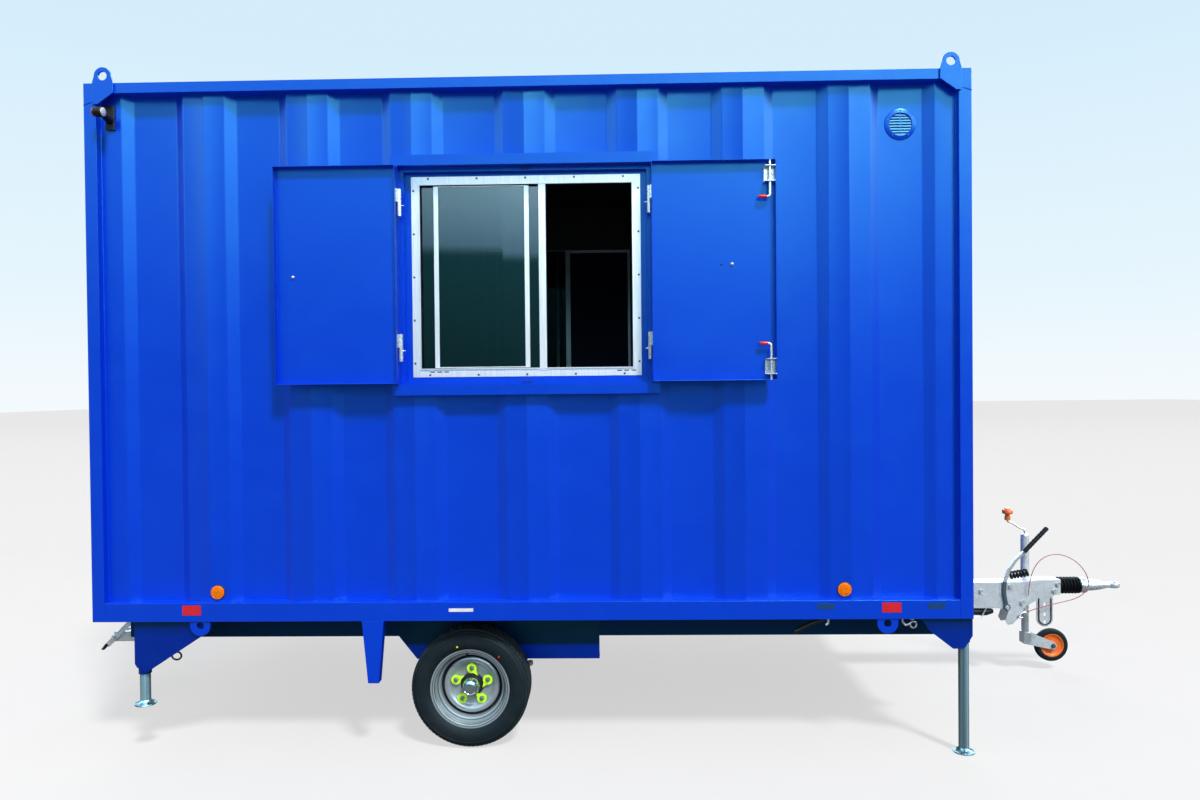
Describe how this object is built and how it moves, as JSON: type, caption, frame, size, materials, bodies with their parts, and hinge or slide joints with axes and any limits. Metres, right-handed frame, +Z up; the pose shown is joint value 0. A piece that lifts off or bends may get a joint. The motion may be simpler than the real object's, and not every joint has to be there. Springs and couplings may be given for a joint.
{
  "type": "portable site cabin",
  "caption": "Towable blue steel site cabin with a corrugated box body, shuttered sliding window, rear door and step, road wheels, prop legs and an overrun drawbar.",
  "frame": {"origin": "middle of the whole cabin's footprint, drawbar and step included, on the ground", "axes": "+X towards the drawbar's towing eye, +Y away from the side with the open shutters, +Z up"},
  "size_m": [5.9899, 2.4618, 3.3009],
  "materials": {
    "blue_paint": "gloss",
    "zinc": "galvanised",
    "wheel_paint": "satin",
    "window_aluminium": "satin",
    "window_glass": "clear",
    "tyre": "matt",
    "black_rubber": "matt",
    "black_paint": "satin",
    "amber_plastic": "gloss",
    "lamp_plastic": "gloss",
    "orange_plastic": "gloss",
    "white_board": "satin",
    "floor_board": "matt",
    "red_cable": "satin"
  },
  "bodies": {
    "cabin": {"corner_posts": "blue_paint", "top_rails": "blue_paint", "bottom_rails": "blue_paint", "lifting_eyes": "blue_paint", "near_wall": "blue_paint", "far_wall": "blue_paint", "front_wall": "blue_paint", "rear_wall": "blue_paint", "rear_door_frame": "blue_paint", "rear_door": "blue_paint", "roof_sheet": "blue_paint", "ceiling": "white_board", "floor_deck": "floor_board", "lining_boards": "white_board", "window_surrounds": "blue_paint", "window_frames": "window_aluminium", "window_sashes": "window_aluminium", "window_glass": "window_glass", "shutter_hinge_pins": "zinc", "far_shutters": "blue_paint", "vents": "blue_paint", "side_reflectors": "amber_plastic", "road_lamps": "lamp_plastic", "tie_down_eyes": "blue_paint", "chassis_rails": "zinc", "floor_bearers": "zinc", "side_beams": "blue_paint", "axle": "zinc", "stand_legs": "blue_paint", "leg_brackets": "blue_paint", "rear_step": "zinc", "drawbar_pole": "zinc", "pole_carriers": "zinc", "coupling_housing": "zinc", "bellows": "black_rubber", "brake_spring_cylinder": "black_paint", "breakaway_cable": "red_cable"},
    "left_shutter": {"near_shutter_left": "blue_paint", "left_hinge_leaves": "zinc"},
    "right_shutter": {"near_shutter_right": "blue_paint", "right_hinge_leaves": "zinc", "bolt_housings": "zinc"},
    "upper_bolt": {"upper_shoot_bolt": "zinc"},
    "lower_bolt": {"lower_shoot_bolt": "zinc"},
    "near_wheel": {"near_tyre": "tyre", "near_rim": "wheel_paint"},
    "far_wheel": {"far_tyre": "tyre", "far_rim": "wheel_paint"},
    "near_front_leg": {"front_leg_near": "zinc"},
    "far_front_leg": {"front_leg_far": "zinc"},
    "near_rear_leg": {"rear_leg_near": "zinc"},
    "far_rear_leg": {"rear_leg_far": "zinc"},
    "towing_eye": {"coupling_eye": "zinc"},
    "handbrake": {"handbrake_lever": "zinc"},
    "jockey_stand": {"jockey_tube": "zinc", "jockey_nut": "zinc"},
    "jockey_swivel": {"jockey_fork": "zinc"},
    "jockey_roller": {"jockey_wheel": "orange_plastic"},
    "jockey_handle": {"jockey_crank": "zinc"}
  },
  "joints": [
    {"name": "left_shutter_hinge", "type": "hinge", "parent": "cabin", "child": "left_shutter", "pos_m": [-1.0247, -1.147, 2.296], "axis": [0, 0, 1], "range_deg": [0, 180]},
    {"name": "right_shutter_hinge", "type": "hinge", "parent": "cabin", "child": "right_shutter", "pos_m": [0.1587, -1.147, 2.296], "axis": [0, 0, -1], "range_deg": [0, 180]},
    {"name": "upper_bolt_slide", "type": "slide", "parent": "right_shutter", "child": "upper_bolt", "axis": [0, 0, 1], "range_m": [0, 0.03]},
    {"name": "lower_bolt_slide", "type": "slide", "parent": "right_shutter", "child": "lower_bolt", "axis": [0, 0, 1], "range_m": [-0.03, 0]},
    {"name": "near_wheel_spin", "type": "hinge", "parent": "cabin", "child": "near_wheel", "pos_m": [-0.733, -0.974, 0.29], "axis": [0, 1, 0], "continuous": true},
    {"name": "far_wheel_spin", "type": "hinge", "parent": "cabin", "child": "far_wheel", "pos_m": [-0.733, 0.974, 0.29], "axis": [0, 1, 0], "continuous": true},
    {"name": "near_front_leg_slide", "type": "slide", "parent": "cabin", "child": "near_front_leg", "axis": [0, 0, 1], "range_m": [0, 0.4]},
    {"name": "far_front_leg_slide", "type": "slide", "parent": "cabin", "child": "far_front_leg", "axis": [0, 0, 1], "range_m": [0, 0.4]},
    {"name": "near_rear_leg_slide", "type": "slide", "parent": "cabin", "child": "near_rear_leg", "axis": [0, 0, 1], "range_m": [-0.235, 0]},
    {"name": "far_rear_leg_slide", "type": "slide", "parent": "cabin", "child": "far_rear_leg", "axis": [0, 0, 1], "range_m": [-0.235, 0]},
    {"name": "overrun_slide", "type": "slide", "parent": "cabin", "child": "towing_eye", "axis": [1, 0, 0], "range_m": [-0.08, 0], "stiffness_N_per_m": 2000, "springref_m": 0.05, "deforming": ["bellows"]},
    {"name": "handbrake_pivot", "type": "hinge", "parent": "cabin", "child": "handbrake", "pos_m": [2.305, -0.059, 0.425], "axis": [0, -1, 0], "range_deg": [0, 45]},
    {"name": "jockey_tube_slide", "type": "slide", "parent": "cabin", "child": "jockey_stand", "axis": [0, 0, 1], "range_m": [-0.055, 0.02]},
    {"name": "jockey_swivel_joint", "type": "hinge", "parent": "jockey_stand", "child": "jockey_swivel", "pos_m": [2.484, 0.1, 0.155], "axis": [0, 0, 1], "continuous": true},
    {"name": "jockey_wheel_spin", "type": "hinge", "parent": "jockey_swivel", "child": "jockey_roller", "pos_m": [2.639, 0.1, 0.155], "axis": [0, 1, 0], "continuous": true},
    {"name": "jockey_crank_turn", "type": "hinge", "parent": "jockey_stand", "child": "jockey_handle", "pos_m": [2.484, 0.1, 0.815], "axis": [0, 0, 1], "continuous": true}
  ]
}
